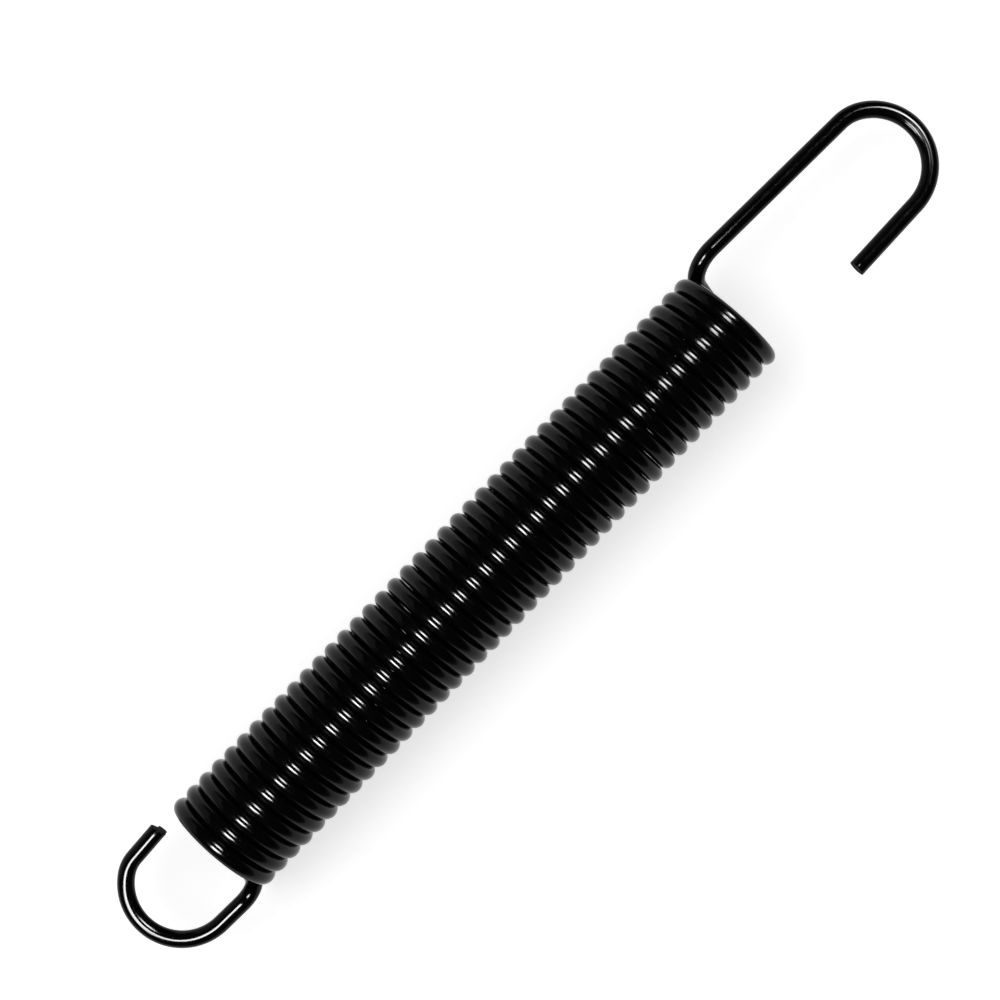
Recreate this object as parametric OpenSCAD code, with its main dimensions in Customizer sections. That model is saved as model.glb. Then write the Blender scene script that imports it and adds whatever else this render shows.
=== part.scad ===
// Extension spring with a long hook and a short hook, wound from one piece of wire.
// The coil lies along X with the long hook at +X, and both hooks lie flat at the
// height of the coil's axis. Z is 0 where the coil rests, and the overall length
// is centred on X.

/* [Wire] */
// Diameter of the wire
wire_d = 3; // [2:0.1:3.6]

/* [Coil] */
// Diameter of the coil, to the middle of the wire
coil_mean_d = 18; // [15:0.5:26]
// Strands that cross the top of the coil, one for each turn
coil_strands = 41; // [8:1:60]
// How much further apart than one wire the turns sit, along the coil
turn_gap = 0.04; // [0.03:0.01:2]

/* [Long hook] */
// Radius of the bend out of the coil, to the middle of the wire
long_base_r = 5.5; // [3.5:0.1:9]
// Angle by which the leg leans in towards the coil's axis
long_lean = 1.5; // [0:0.1:4]
// Length of the straight leg
long_leg = 30.1; // [16:0.1:80]
// Radius of the shoulder bend, to the middle of the wire
long_first_r = 7.5; // [4:0.1:14]
// Angle of the shoulder bend
long_first_angle = 33; // [5:1:60]
// Radius of the crown, to the middle of the wire
long_second_r = 9.6; // [5:0.1:16]
// Angle of the crown
long_second_angle = 144; // [90:1:150]
// Length of the straight tip
long_tip = 14.7; // [4:0.1:24]
// Slant of the cut end, positive where the inner side is longer
long_cut = -3; // [-30:1:30]

/* [Short hook] */
// Radius of the bend out of the coil, to the middle of the wire
short_base_r = 3.5; // [2.5:0.1:6]
// Angle by which the leg leans in towards the coil's axis
short_lean = 1.8; // [0:0.1:4]
// Length of the straight leg
short_leg = 4.7; // [3:0.1:40]
// Radius of the crown, to the middle of the wire
short_first_r = 9.5; // [6:0.1:14]
// Angle of the crown
short_first_angle = 143; // [100:1:150]
// Radius of the bend from the crown to the tip, to the middle of the wire
short_second_r = 5.8; // [4:0.1:10]
// Angle of the bend from the crown to the tip
short_second_angle = 32; // [5:1:60]
// Length of the straight tip
short_tip = 6.2; // [4:0.1:7]
// Slant of the cut end, positive where the inner side is longer
short_cut = 8; // [-30:1:30]

/* [Hidden] */
section_fn = 32;
arc_fn = 64;

// Stretches of wire take turns: every second one is finer by a hair and runs a little
// way into its neighbours, so that the whole wire joins into one solid
hair = 0.01;
lap = 0.15;
fine_d = wire_d - 2 * hair;

// Each half turn is a level half circle, tilted just enough to gain half a pitch
pitch = wire_d + turn_gap;
half_turn_r = sqrt(pow(coil_mean_d / 2, 2) + pow(pitch / 4, 2));
half_turn_tilt = atan(pitch / 4 / (coil_mean_d / 2));
coil_half = (coil_strands - 0.5) * pitch / 2;
axis_z = half_turn_r + wire_d / 2;

// The sizes of each hook in the order in which its wire runs, and their names
long_hook = [long_base_r, long_lean, long_leg, long_first_r, long_first_angle,
    long_second_r, long_second_angle, long_tip, long_cut];
short_hook = [short_base_r, short_lean, short_leg, short_first_r, short_first_angle,
    short_second_r, short_second_angle, short_tip, short_cut];
function base_r(hook) = hook[0];
function lean(hook) = hook[1];
function leg(hook) = hook[2];
function first_r(hook) = hook[3];
function first_angle(hook) = hook[4];
function second_r(hook) = hook[5];
function second_angle(hook) = hook[6];
function tip(hook) = hook[7];
function cut(hook) = hook[8];

// Angle of the bend that turns the coil's wire into a leg, from where it leaves the coil
function base_angle(leaving, lean) = acos(sin(leaving) * sin(half_turn_tilt - lean));

// Angle before the coil's side at which the wire leaves, so that the leg is level with
// the axis; each round brings it closer
function leaving_angle(radius, lean, rounds = 6) =
    rounds == 0
        ? atan(radius / half_turn_r)
        : atan(radius / half_turn_r
            * tan(base_angle(leaving_angle(radius, lean, rounds - 1), lean) / 2));

// Where a hook's wire leaves the coil, its direction there, and the leg's direction,
// from the end of the coil's last full half turn
function leaving_of(hook) = leaving_angle(base_r(hook), lean(hook));
function leaving_point(hook) = [
    pitch / 4 + half_turn_r * cos(leaving_of(hook)) * sin(half_turn_tilt),
    half_turn_r * cos(leaving_of(hook)) * cos(half_turn_tilt),
    -half_turn_r * sin(leaving_of(hook))
];
function leaving_way(hook) = [
    sin(leaving_of(hook)) * sin(half_turn_tilt),
    sin(leaving_of(hook)) * cos(half_turn_tilt),
    cos(leaving_of(hook))
];
function leg_way(hook) = [cos(lean(hook)), -sin(lean(hook)), 0];
function leg_start(hook) = leaving_point(hook)
    + base_r(hook) * tan(base_angle(leaving_of(hook), lean(hook)) / 2)
        * (leaving_way(hook) + leg_way(hook));

// How far a hook reaches past the end of the coil's last full half turn
function first_turned(hook) = min(90, lean(hook) + first_angle(hook));
function hook_reach(hook) = leg_start(hook)[0]
    + leg(hook) * cos(lean(hook))
    + first_r(hook) * (sin(first_turned(hook)) - sin(lean(hook)))
    + second_r(hook) * (1 - sin(first_turned(hook)))
    + wire_d / 2;
coil_x = (hook_reach(short_hook) - hook_reach(long_hook)) / 2;

// Wire bent round an axis along Z, from the X axis on
module wire_arc(radius, angle) {
    rotate_extrude(angle = angle, $fn = arc_fn)
        translate([radius, 0])
            circle(d = wire_d, $fn = section_fn);
}

// The same in finer wire, running on at both ends
module lapped_arc(radius, angle) {
    extra = lap / radius * 180 / PI;
    rotate([0, 0, -extra])
        rotate_extrude(angle = angle + 2 * extra, $fn = arc_fn)
            translate([radius, 0])
                circle(d = fine_d, $fn = section_fn);
}

// Straight wire along X, with what follows at its end
module wire_straight(length) {
    rotate([0, 90, 0])
        cylinder(d = wire_d, h = length, $fn = section_fn);
    translate([length, 0, 0])
        children();
}

// Wire that sets out along X and turns towards -Y, with what follows at its end
module wire_bend(radius, angle, lapped = false) {
    translate([0, -radius, 0]) {
        rotate([0, 0, 90 - angle])
            if (lapped)
                lapped_arc(radius, angle);
            else
                wire_arc(radius, angle);
        rotate([0, 0, -angle])
            translate([0, radius, 0])
                children();
    }
}

// Straight end of the wire along X, cut off at a slant
module wire_tip(length, slant) {
    block = 3 * wire_d;
    difference() {
        translate([-lap, 0, 0])
            rotate([0, 90, 0])
                cylinder(d = fine_d, h = length + block / 2, $fn = section_fn);
        translate([length, 0, 0])
            rotate([0, 0, slant])
                translate([0, -block / 2, -block / 2])
                    cube(block);
    }
}

// Half turn over the top of the coil, from +Y to -Y
module upper_half_turn() {
    rotate([0, 0, half_turn_tilt])
        rotate([90, 0, 90])
            lapped_arc(half_turn_r, 180);
}

// Half turn under the coil, or the first part of one, from -Y towards +Y
module lower_half_turn(angle = 180) {
    rotate([180, 0, -half_turn_tilt])
        rotate([90, 0, 90])
            wire_arc(half_turn_r, angle);
}

module coil() {
    for (strand = [0 : coil_strands - 1])
        translate([strand * pitch + pitch / 4 - coil_half, 0, 0])
            upper_half_turn();
    for (strand = [1 : coil_strands - 1])
        translate([strand * pitch - pitch / 4 - coil_half, 0, 0])
            lower_half_turn();
}

// Rest of the last turn, the bend out of the coil, and the hook, at the coil's +X end
module hook(sizes) {
    leaving = leaving_of(sizes);
    turn = base_angle(leaving, lean(sizes));
    way = leaving_way(sizes);
    inward = (leg_way(sizes) - cos(turn) * way) / sin(turn);
    normal = cross(way, inward);
    centre = leaving_point(sizes) + base_r(sizes) * inward;
    translate([pitch / 4, 0, 0])
        lower_half_turn(180 - leaving);
    multmatrix([
        [-inward[0], way[0], normal[0], centre[0]],
        [-inward[1], way[1], normal[1], centre[1]],
        [-inward[2], way[2], normal[2], centre[2]],
        [0, 0, 0, 1]
    ])
        lapped_arc(base_r(sizes), turn);
    translate(leg_start(sizes))
        rotate([0, 0, -lean(sizes)])
            wire_straight(leg(sizes))
                wire_bend(first_r(sizes), first_angle(sizes), lapped = true)
                    wire_bend(second_r(sizes), second_angle(sizes))
                        wire_tip(tip(sizes), cut(sizes));
}

module spring_wire() {
    color("#17181a")
        translate([coil_x, 0, axis_z]) {
            coil();
            translate([coil_half, 0, 0])
                hook(long_hook);
            rotate([0, 0, 180])
                translate([coil_half, 0, 0])
                    hook(short_hook);
        }
}

spring_wire();
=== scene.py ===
import math

import bmesh
import bpy
from mathutils import Matrix, Vector


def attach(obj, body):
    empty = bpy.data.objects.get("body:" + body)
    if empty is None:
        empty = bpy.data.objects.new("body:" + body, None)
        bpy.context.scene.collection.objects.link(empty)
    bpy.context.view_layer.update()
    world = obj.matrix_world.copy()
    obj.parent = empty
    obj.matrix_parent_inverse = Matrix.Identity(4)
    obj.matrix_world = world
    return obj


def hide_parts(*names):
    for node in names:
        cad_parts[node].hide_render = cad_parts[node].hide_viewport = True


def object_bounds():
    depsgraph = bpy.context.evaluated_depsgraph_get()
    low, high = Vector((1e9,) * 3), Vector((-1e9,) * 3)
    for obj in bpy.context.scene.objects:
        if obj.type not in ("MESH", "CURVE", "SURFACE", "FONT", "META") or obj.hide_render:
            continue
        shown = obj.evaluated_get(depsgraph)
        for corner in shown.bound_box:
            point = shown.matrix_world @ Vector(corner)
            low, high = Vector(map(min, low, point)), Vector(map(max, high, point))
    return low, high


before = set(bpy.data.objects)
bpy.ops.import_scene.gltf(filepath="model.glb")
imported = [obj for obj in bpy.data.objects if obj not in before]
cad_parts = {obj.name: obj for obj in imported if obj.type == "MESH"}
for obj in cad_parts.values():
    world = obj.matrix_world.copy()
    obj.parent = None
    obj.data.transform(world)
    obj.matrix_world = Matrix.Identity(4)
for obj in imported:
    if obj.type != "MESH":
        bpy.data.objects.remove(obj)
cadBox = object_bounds()
mm = 0.001
print("frame loaded, nodes:", sorted(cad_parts))


# general helpers

def hexToLinear(code):
    channels = [int(code[i:i + 2], 16) / 255 for i in (1, 3, 5)]
    return [c / 12.92 if c <= 0.04045 else ((c + 0.055) / 1.055) ** 2.4 for c in channels] + [1.0]


def addNode(tree, kind, settings=None, links=None):
    node = tree.nodes.new(kind)
    for name, value in (settings or {}).items():
        if name in node.inputs:
            node.inputs[name].default_value = value
        else:
            setattr(node, name, value)
    for socket, source in (links or {}).items():
        tree.links.new(source, node.inputs[socket])
    return node


def newTree(owner):
    owner.use_nodes = True
    owner.node_tree.nodes.clear()
    return owner.node_tree


# camera, straight above the spring, turned so that the long hook points up and right

cameraView = {
    "place": (-0.32, 6.47, 390.5),      # mm
    "turn": -46.0,                      # degrees about Z
    "lens": 81.0,                       # mm
    "sensor": 36.0,                     # mm
    "clip": (0.01, 50.0),               # m
}


def makeCamera(view):
    data = bpy.data.cameras.new("photoCamera")
    data.sensor_width = view["sensor"]
    data.lens = view["lens"]
    data.clip_start, data.clip_end = view["clip"]
    camera = bpy.data.objects.new("photoCamera", data)
    bpy.context.scene.collection.objects.link(camera)
    camera.location = Vector(view["place"]) * mm
    camera.rotation_euler = (0.0, 0.0, math.radians(view["turn"]))
    bpy.context.scene.camera = camera


# the wire, one closed mesh from cut end to cut end

springWire = {                          # mm and degrees
    "wireDiameter": 3.0,
    "coilMeanDiameter": 18.0,
    "strands": 41,                      # strands across the top of the coil
    "turnGap": 0.04,
    "legAdded": 0.125,                  # a helix leaves the coil sooner than the frame's half circles
    "leavingHalvings": 40,              # of the quarter turn in which the wire leaves the coil
    "sides": 32,                        # round the wire
    "stepsPerTurn": 56,                 # along the coil
    "runStep": 1.0,                     # length of each step of a straight run
    "bendStep": 2.0,                    # degrees for each step of a bend
    "rimSteps": 3,                      # across the rounding of a cut edge
    "rimGlossy": 0.1,                   # share of that rounding that has the coating's gloss
    "joinWithin": 0.001,
    "flatCorners": 8,                   # a face with as many is a cut face, and is shaded flat
    "longHook": {
        "baseRadius": 5.5,
        "lean": 1.5,
        "leg": 30.1,
        "bends": [(7.5, 33.0, 0), (9.6, 144.0, 14.7)],     # radius, angle, straight run after
        "slant": -3.0,
        "rim": 0.05,                    # rounding of the cut edge
        "step": 0.0,                    # height of the step that the shears left in the face
    },
    "shortHook": {
        "baseRadius": 3.5,
        "lean": 1.8,
        "leg": 4.7,
        "bends": [(9.5, 143.0, 0), (5.8, 32.0, 6.2)],
        "slant": 8.0,
        "rim": 0.1,
        "step": 0.34,
        "stepFrom": -0.36,              # from the middle of the wire, towards the hook's inside
    },
}


def sweep(bm, ring, centre, axis, angle, steps, advance=Vector((0, 0, 0))):
    swept = bmesh.ops.spin(bm, geom=ring, cent=centre, axis=axis, dvec=advance, angle=angle,
                           steps=steps, use_merge=False, use_normal_flip=False,
                           use_duplicate=False)
    return [part for part in swept["geom_last"] if not isinstance(part, bmesh.types.BMFace)]


def coilPoint(sizes, pitch, coilHalf, phase):
    radius = sizes["coilMeanDiameter"] / 2
    return Vector((coilHalf + pitch * (phase - math.pi) / (2 * math.pi),
                   radius * math.cos(phase), radius * math.sin(phase)))


def coilWay(sizes, pitch, phase):
    radius = sizes["coilMeanDiameter"] / 2
    return Vector((pitch / (2 * math.pi),
                   -radius * math.sin(phase), radius * math.cos(phase))).normalized()


def bendAfter(point, way, legWay, radius):
    turn = way.angle(legWay)
    return turn, point + radius * math.tan(turn / 2) * (way + legWay)


def leavingPhase(sizes, hook, pitch, coilHalf):
    # where the wire leaves the last turn, so that its leg is level with the coil's axis:
    # between the coil's underside, at 1.5 pi, and its side, at 2 pi
    lean = math.radians(hook["lean"])
    legWay = Vector((math.cos(lean), -math.sin(lean), 0))
    low, high = 1.5 * math.pi, 2 * math.pi
    for halving in range(sizes["leavingHalvings"]):
        phase = (low + high) / 2
        legStart = bendAfter(coilPoint(sizes, pitch, coilHalf, phase),
                             coilWay(sizes, pitch, phase), legWay, hook["baseRadius"])[1]
        if legStart.z < 0:
            low = phase
        else:
            high = phase
    return phase


def finishCut(bm, ring, sizes, hook, place, way, inward):
    # slant, cap, rounded rim and, on one end, the step that the shears left
    wireRadius = sizes["wireDiameter"] / 2 * mm
    rim = hook["rim"] * mm
    verts = [part for part in ring if isinstance(part, bmesh.types.BMVert)]
    edges = [part for part in ring if isinstance(part, bmesh.types.BMEdge)]
    slope = math.tan(math.radians(hook["slant"]))
    for vert in verts:
        vert.co += way * slope * (vert.co - place).dot(inward)
    cap = bmesh.ops.contextual_create(bm, geom=edges)["faces"][0]
    bmesh.ops.bevel(bm, geom=list(cap.edges), offset=rim, offset_type="OFFSET", affect="EDGES",
                    segments=sizes["rimSteps"], profile=0.5, material=-1, clamp_overlap=True)
    bm.faces.ensure_lookup_table()
    cap = max((f for f in bm.faces if (f.calc_center_median() - place).length < wireRadius),
              key=lambda f: f.calc_area())
    if hook["step"]:
        cut = bmesh.ops.bisect_plane(bm, geom=[cap] + list(cap.edges) + list(cap.verts),
                                     plane_co=place + inward * hook["stepFrom"] * mm,
                                     plane_no=inward)["geom"]
        halves = [part for part in cut if isinstance(part, bmesh.types.BMFace)]
        inner = max(halves, key=lambda f: (f.calc_center_median() - place).dot(inward))
        raised = bmesh.ops.extrude_face_region(bm, geom=[inner])["geom"]
        bmesh.ops.delete(bm, geom=[inner], context="FACES_ONLY")
        for part in raised:
            if isinstance(part, bmesh.types.BMVert):
                part.co += way * hook["step"] * mm

    # the cut face is marked for the coating, which is dull there
    sheared = bm.verts.layers.float["sheared"]
    shearedWithin = wireRadius - sizes["rimGlossy"] * rim
    for vert in bm.verts:
        fromPlace = vert.co - place
        if fromPlace.length < wireRadius and fromPlace.cross(way).length < shearedWithin:
            vert[sheared] = 1.0


def sectionRing(bm, sizes, pitch, coilHalf, phase):
    # the wire's section at one place of the coil, square to its way there
    verts = bmesh.ops.create_circle(bm, segments=sizes["sides"], cap_ends=False,
                                    radius=sizes["wireDiameter"] / 2 * mm)["verts"]
    square = coilWay(sizes, pitch, 0).to_track_quat("Z", "Y").to_matrix().to_4x4()
    out = Matrix.Translation((0, sizes["coilMeanDiameter"] / 2 * mm, 0))
    rolled = Matrix.Rotation(phase, 4, "X")
    along = Matrix.Translation((coilPoint(sizes, pitch, coilHalf, phase).x * mm, 0, 0))
    bmesh.ops.transform(bm, verts=verts, matrix=along @ rolled @ out @ square)
    return verts + list(dict.fromkeys(edge for vert in verts for edge in vert.link_edges))


def sweepCoil(bm, ring, sizes, pitch, angle):
    steps = round(angle / (2 * math.pi) * sizes["stepsPerTurn"])
    advance = Vector((pitch * angle / (2 * math.pi) / steps * mm, 0, 0))
    return sweep(bm, ring, Vector((0, 0, 0)), Vector((1, 0, 0)), angle, steps, advance)


def makeHook(bm, ring, sizes, hook, pitch, coilHalf, turned):
    # the bend out of the coil, the leg, the bends and the tip; turned puts it at its end
    lean = math.radians(hook["lean"])
    legWay = Vector((math.cos(lean), -math.sin(lean), 0))
    phase = leavingPhase(sizes, hook, pitch, coilHalf)
    point = coilPoint(sizes, pitch, coilHalf, phase)
    way = coilWay(sizes, pitch, phase)
    turn, legStart = bendAfter(point, way, legWay, hook["baseRadius"])
    inward = (legWay - math.cos(turn) * way).normalized()
    ring = sweep(bm, ring, turned @ (point + hook["baseRadius"] * inward) * mm,
                 turned @ way.cross(inward), turn,
                 round(math.degrees(turn) / sizes["bendStep"]))

    place, heading = legStart, -lean
    for bendRadius, angle, run in [(0, 0, hook["leg"] + sizes["legAdded"])] + hook["bends"]:
        if bendRadius:
            side = Vector((math.sin(heading), -math.cos(heading), 0))
            centre = place + bendRadius * side
            ring = sweep(bm, ring, turned @ centre * mm, Vector((0, 0, -1)),
                         math.radians(angle), round(angle / sizes["bendStep"]))
            heading -= math.radians(angle)
            place = centre - bendRadius * Vector((math.sin(heading), -math.cos(heading), 0))
        if run:
            way = Vector((math.cos(heading), math.sin(heading), 0))
            steps = round(run / sizes["runStep"])
            ring = sweep(bm, ring, Vector((0, 0, 0)), Vector((0, 0, 1)), 0, steps,
                         turned @ way * (run / steps * mm))
            place = place + way * run
    inner = Vector((math.sin(heading), -math.cos(heading), 0))
    finishCut(bm, ring, sizes, hook, turned @ place * mm, turned @ way, turned @ inner)


def makeSpring(sizes):
    pitch = sizes["wireDiameter"] + sizes["turnGap"]
    coilHalf = (sizes["strands"] - 0.5) * pitch / 2
    halfTurn = Matrix.Rotation(math.pi, 3, "Z")
    fullTurn = 2 * math.pi
    lastPhase = leavingPhase(sizes, sizes["longHook"], pitch, coilHalf)
    # the short hook leaves its end of the coil as a long hook would, turned about Z
    firstPhase = (3 * math.pi - sizes["strands"] * fullTurn
                  - leavingPhase(sizes, sizes["shortHook"], pitch, coilHalf))
    turns = math.floor((lastPhase - firstPhase) / fullTurn)

    # both hooks, the long one with what is left of the last turn
    bm = bmesh.new()
    bm.verts.layers.float.new("sheared")
    ring = sectionRing(bm, sizes, pitch, coilHalf, firstPhase)
    makeHook(bm, ring, sizes, sizes["shortHook"], pitch, coilHalf, halfTurn)
    ring = sectionRing(bm, sizes, pitch, coilHalf, firstPhase + turns * fullTurn)
    ring = sweepCoil(bm, ring, sizes, pitch, lastPhase - firstPhase - turns * fullTurn)
    makeHook(bm, ring, sizes, sizes["longHook"], pitch, coilHalf, Matrix.Identity(3))
    print("hooks bent")

    # one turn, copied along the coil and joined to its neighbours
    hookFaces = set(bm.faces)
    ring = sectionRing(bm, sizes, pitch, coilHalf, firstPhase)
    sweepCoil(bm, ring, sizes, pitch, fullTurn)
    faces = [face for face in bm.faces if face not in hookFaces]
    edges = list(dict.fromkeys(edge for face in faces for edge in face.edges))
    verts = list(dict.fromkeys(vert for face in faces for vert in face.verts))
    bmesh.ops.spin(bm, geom=faces + edges + verts, cent=Vector((0, 0, 0)),
                   axis=Vector((1, 0, 0)), angle=0, dvec=Vector((pitch * mm, 0, 0)),
                   steps=turns - 1, use_merge=False, use_normal_flip=False, use_duplicate=True)
    bmesh.ops.remove_doubles(bm, verts=bm.verts, dist=sizes["joinWithin"] * mm)
    bmesh.ops.recalc_face_normals(bm, faces=bm.faces)
    print("coil wound:", turns, "full turns")

    # the coil rests on the floor, and the overall length is centred as the frame has it
    xs = [vert.co.x for vert in bm.verts]
    frameX = (cadBox[0][0] + cadBox[1][0]) / 2
    lift = (sizes["coilMeanDiameter"] + sizes["wireDiameter"]) / 2 * mm
    bmesh.ops.translate(bm, verts=bm.verts, vec=(frameX - (min(xs) + max(xs)) / 2, 0, lift))

    print("open edges:", sum(not edge.is_manifold for edge in bm.edges))
    for face in bm.faces:
        face.smooth = len(face.verts) < sizes["flatCorners"]
    mesh = bpy.data.meshes.new("springWireCoated")
    bm.to_mesh(mesh)
    bm.free()
    piece = bpy.data.objects.new("springWireCoated", mesh)
    bpy.context.scene.collection.objects.link(piece)
    return piece


# finish of the wire

coating = {
    "colour": "#050506",
    "ior": 1.2,                         # under a paint's 1.5, matched to the photo's deep blacks
    "roughness": (0.1, 0.14),
    "peelRange": (0.35, 0.65),          # of the peel's noise, over which the roughness changes
    "shearedRoughness": 0.95,
    "peel": 0.9,                        # mm from crest to crest of the orange peel
    "peelHeight": 0.0006,               # mm
    "peelDetail": 2.0,
    "peelFineness": 0.4,
    "speck": 0.25,                      # mm, dust and pinholes under the coating
    "speckHeight": 0.0002,              # mm
    "speckDetail": 1.0,
}


def blackElectrocoat(finish):
    # glossy black electrocoat, baked: deep black, sharp highlights with a faint orange peel,
    # and dull where the shears cut the wire
    material = bpy.data.materials.new("blackElectrocoatOnSpringSteel")
    tree = newTree(material)
    where = addNode(tree, "ShaderNodeTexCoord").outputs["Object"]
    peel = addNode(tree, "ShaderNodeTexNoise",
                   {"Scale": 1 / (finish["peel"] * mm), "Detail": finish["peelDetail"],
                    "Roughness": finish["peelFineness"]}, {"Vector": where})
    speck = addNode(tree, "ShaderNodeTexNoise",
                    {"Scale": 1 / (finish["speck"] * mm), "Detail": finish["speckDetail"]},
                    {"Vector": where})
    gloss = addNode(tree, "ShaderNodeMapRange",
                    {"From Min": finish["peelRange"][0], "From Max": finish["peelRange"][1],
                     "To Min": finish["roughness"][0], "To Max": finish["roughness"][1]},
                    {"Value": peel.outputs["Fac"]})
    sheared = addNode(tree, "ShaderNodeAttribute", {"attribute_name": "sheared"}).outputs["Fac"]
    rough = addNode(tree, "ShaderNodeMix", {"data_type": "FLOAT", "B": finish["shearedRoughness"]},
                    {"Factor": sheared, "A": gloss.outputs["Result"]})
    fine = addNode(tree, "ShaderNodeBump", {"Distance": finish["speckHeight"] * mm},
                   {"Height": speck.outputs["Fac"]})
    bump = addNode(tree, "ShaderNodeBump", {"Distance": finish["peelHeight"] * mm},
                   {"Height": peel.outputs["Fac"], "Normal": fine.outputs["Normal"]})
    shader = addNode(tree, "ShaderNodeBsdfPrincipled",
                     {"Base Color": hexToLinear(finish["colour"]), "IOR": finish["ior"]},
                     {"Roughness": rough.outputs["Result"], "Normal": bump.outputs["Normal"]})
    addNode(tree, "ShaderNodeOutputMaterial", links={"Surface": shader.outputs["BSDF"]})
    return material


# studio: a white floor, a dark ceiling over light walls, and softboxes

studio = {
    "floorSize": 8.0,                   # m
    "floorColour": "#e8e8e8",
    "floorFill": 0.58,                  # what the floor adds for the eye and for reflections
    "wallTop": 0.3,                     # sine of the height at which the walls turn dark
    "wallLevel": 0.4,
    "ceilingLevel": 0.02,
    "ambient": 0.55,
}

softboxes = {                           # m, radiance along the lamp's axis, and degrees
    "overLongHook": {"place": (0.773, 0.053, 1.286), "size": (0.42, 0.58),
                     "aim": (0.085, 0, 0), "radiance": 175.0, "spread": 28.0,
                     "mirroredOnly": True},
    "overShortHook": {"place": (-0.73, 0.053, 1.31), "size": (0.42, 0.53),
                      "aim": (-0.085, 0, 0), "radiance": 150.0, "spread": 28.0,
                      "mirroredOnly": True},
    "nearShortHook": {"place": (-0.13, -0.002, 0.2), "size": (0.07, 0.04),
                      "aim": (-0.085, 0, 0), "radiance": 120.0, "spread": 180.0,
                      "mirroredOnly": True},
    "nearLongHook": {"place": (0.079, 0.018, 0.2), "size": (0.045, 0.008),
                     "aim": (0.058, 0.018, 0), "radiance": 90.0, "spread": 180.0,
                     "mirroredOnly": True},
    "leftWall": {"place": (-0.334, 1.092, 0.371), "size": (1.5, 0.78),
                 "aim": (0, 0, 0), "radiance": 0.6, "spread": 180.0, "mirroredOnly": True},
    "key": {"place": (-0.48, 0.8, 1.28), "size": (1.2, 1.2),
            "aim": (0, 0, 0), "radiance": 2.0, "spread": 180.0, "mirroredOnly": False},
}


def seenRays(tree, level):
    # level for rays from the eye and for those that a surface mirrors or lets through
    path = addNode(tree, "ShaderNodeLightPath").outputs
    mirrored = addNode(tree, "ShaderNodeMath", {"operation": "MAXIMUM"},
                       {0: path["Is Glossy Ray"], 1: path["Is Transmission Ray"]})
    seen = addNode(tree, "ShaderNodeMath", {"operation": "MAXIMUM"},
                   {0: path["Is Camera Ray"], 1: mirrored.outputs[0]})
    share = addNode(tree, "ShaderNodeMath", {"operation": "MULTIPLY"}, {0: seen.outputs[0]})
    share.inputs[1].default_value = level
    return share.outputs[0]


def makeFloor(settings):
    bm = bmesh.new()
    bmesh.ops.create_grid(bm, x_segments=1, y_segments=1, size=settings["floorSize"] / 2)
    mesh = bpy.data.meshes.new("floor")
    bm.to_mesh(mesh)
    bm.free()
    floor = bpy.data.objects.new("floor", mesh)
    bpy.context.scene.collection.objects.link(floor)

    # smooth white paper, matt, and as white to the eye as the light on it allows
    material = bpy.data.materials.new("whitePaper")
    tree = newTree(material)
    paper = addNode(tree, "ShaderNodeBsdfDiffuse",
                    {"Color": hexToLinear(settings["floorColour"])})
    fill = addNode(tree, "ShaderNodeEmission",
                   links={"Strength": seenRays(tree, settings["floorFill"])})
    both = addNode(tree, "ShaderNodeAddShader", links={0: paper.outputs[0], 1: fill.outputs[0]})
    addNode(tree, "ShaderNodeOutputMaterial", links={"Surface": both.outputs[0]})
    mesh.materials.append(material)


def makeWorld(settings):
    world = bpy.data.worlds.new("studio")
    bpy.context.scene.world = world
    tree = newTree(world)
    where = addNode(tree, "ShaderNodeTexCoord").outputs["Generated"]
    height = addNode(tree, "ShaderNodeSeparateXYZ", links={"Vector": where}).outputs["Z"]
    walls = addNode(tree, "ShaderNodeMapRange",
                    {"interpolation_type": "SMOOTHSTEP", "From Min": 0.0,
                     "From Max": settings["wallTop"], "To Min": settings["wallLevel"],
                     "To Max": settings["ceilingLevel"]}, {"Value": height})
    level = addNode(tree, "ShaderNodeMix", {"data_type": "FLOAT", "A": settings["ambient"]},
                    {"Factor": seenRays(tree, 1.0), "B": walls.outputs["Result"]})
    light = addNode(tree, "ShaderNodeBackground", links={"Strength": level.outputs["Result"]})
    addNode(tree, "ShaderNodeOutputWorld", links={"Surface": light.outputs[0]})


def makeSoftbox(name, box):
    data = bpy.data.lights.new(name, "AREA")
    data.shape = "RECTANGLE"
    data.size, data.size_y = box["size"]
    data.spread = math.radians(box["spread"])
    half = data.spread / 2
    data.energy = box["radiance"] * math.pi * box["size"][0] * box["size"][1]
    data.energy *= 1 - half / math.tan(half)        # a narrow spread is brighter for its power
    lamp = bpy.data.objects.new(name, data)
    bpy.context.scene.collection.objects.link(lamp)
    lamp.location = box["place"]
    away = lamp.location - Vector(box["aim"])
    lamp.rotation_euler = away.to_track_quat("Z", "Y").to_euler()
    lamp.visible_camera = False
    lamp.visible_diffuse = not box["mirroredOnly"]
    lamp.visible_glossy = box["mirroredOnly"]


makeCamera(cameraView)
print("camera placed")

wire = makeSpring(springWire)
wire.data.materials.append(blackElectrocoat(coating))
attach(wire, "root")
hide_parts("spring_wire")
print("wire:", len(wire.data.polygons), "faces")

makeFloor(studio)
makeWorld(studio)
for name, box in softboxes.items():
    makeSoftbox(name, box)
bpy.context.scene.view_settings.view_transform = "Standard"
print("studio lit")
